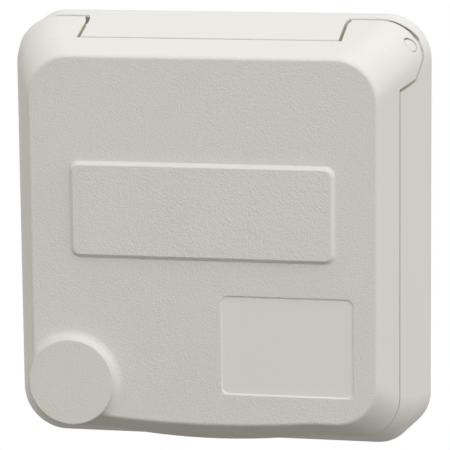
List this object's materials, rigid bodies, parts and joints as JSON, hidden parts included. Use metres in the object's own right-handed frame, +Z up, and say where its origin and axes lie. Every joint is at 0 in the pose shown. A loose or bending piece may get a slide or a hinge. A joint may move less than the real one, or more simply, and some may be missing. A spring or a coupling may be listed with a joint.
{
  "type": "panel mount socket",
  "caption": "Square grey panel mount power socket with a sprung hinged lid over a round earthed two-pin recess, and a round body with screw terminals behind the panel.",
  "frame": {"origin": "middle of the frame's back face, where it lies on the panel, at the centre of the four panel screws", "axes": "+X to the right of someone facing the socket, +Y into the panel, +Z up"},
  "size_m": [0.1, 0.0637, 0.1028],
  "materials": {
    "shell_plastic": "fine leather grain",
    "insert_plastic": "satin moulded",
    "carrier_plastic": "satin moulded",
    "shutter_plastic": "smooth moulded",
    "cover_plastic": "satin moulded",
    "seal_rubber": "matt",
    "spring_steel": "drawn wire",
    "bright_steel": "zinc plated",
    "contact_brass": "rolled"
  },
  "bodies": {
    "housing": {"frame": "shell_plastic", "hinge_pin_left": "bright_steel", "hinge_pin_right": "bright_steel", "lid_spring_left": "spring_steel", "lid_spring_right": "spring_steel", "shutter_spring": "spring_steel", "panel_gasket": "seal_rubber", "insert_gasket": "seal_rubber", "cable_grommet": "seal_rubber", "socket_insert": "insert_plastic", "clamp_ring": "insert_plastic", "contact_carrier": "carrier_plastic", "rear_cover": "cover_plastic", "earth_bracket": "contact_brass", "live_contact": "contact_brass", "neutral_contact": "contact_brass", "centre_screw": "bright_steel", "insert_screws": "bright_steel", "cover_screws": "bright_steel", "live_clamp_plate": "bright_steel", "neutral_clamp_plate": "bright_steel", "earth_clamp_plate": "bright_steel", "live_terminal_screw": "contact_brass", "neutral_terminal_screw": "contact_brass", "earth_terminal_screw": "contact_brass"},
    "lid": {"lid": "shell_plastic", "lid_gasket": "seal_rubber"},
    "shutter": {"shutter": "shutter_plastic"}
  },
  "joints": [
    {"name": "lid_hinge", "type": "hinge", "parent": "housing", "child": "lid", "pos_m": [0, -0.006, 0.0449], "axis": [-1, 0, 0], "range_deg": [0, 91], "stiffness_Nm_per_rad": 0.03, "springref_deg": -57.3, "deforming": ["lid_spring_left", "lid_spring_right"]},
    {"name": "shutter_slide", "type": "slide", "parent": "housing", "child": "shutter", "axis": [0, 0, -1], "range_m": [0, 0.0066], "stiffness_N_per_m": 100, "springref_m": -0.004, "deforming": ["shutter_spring"]}
  ]
}
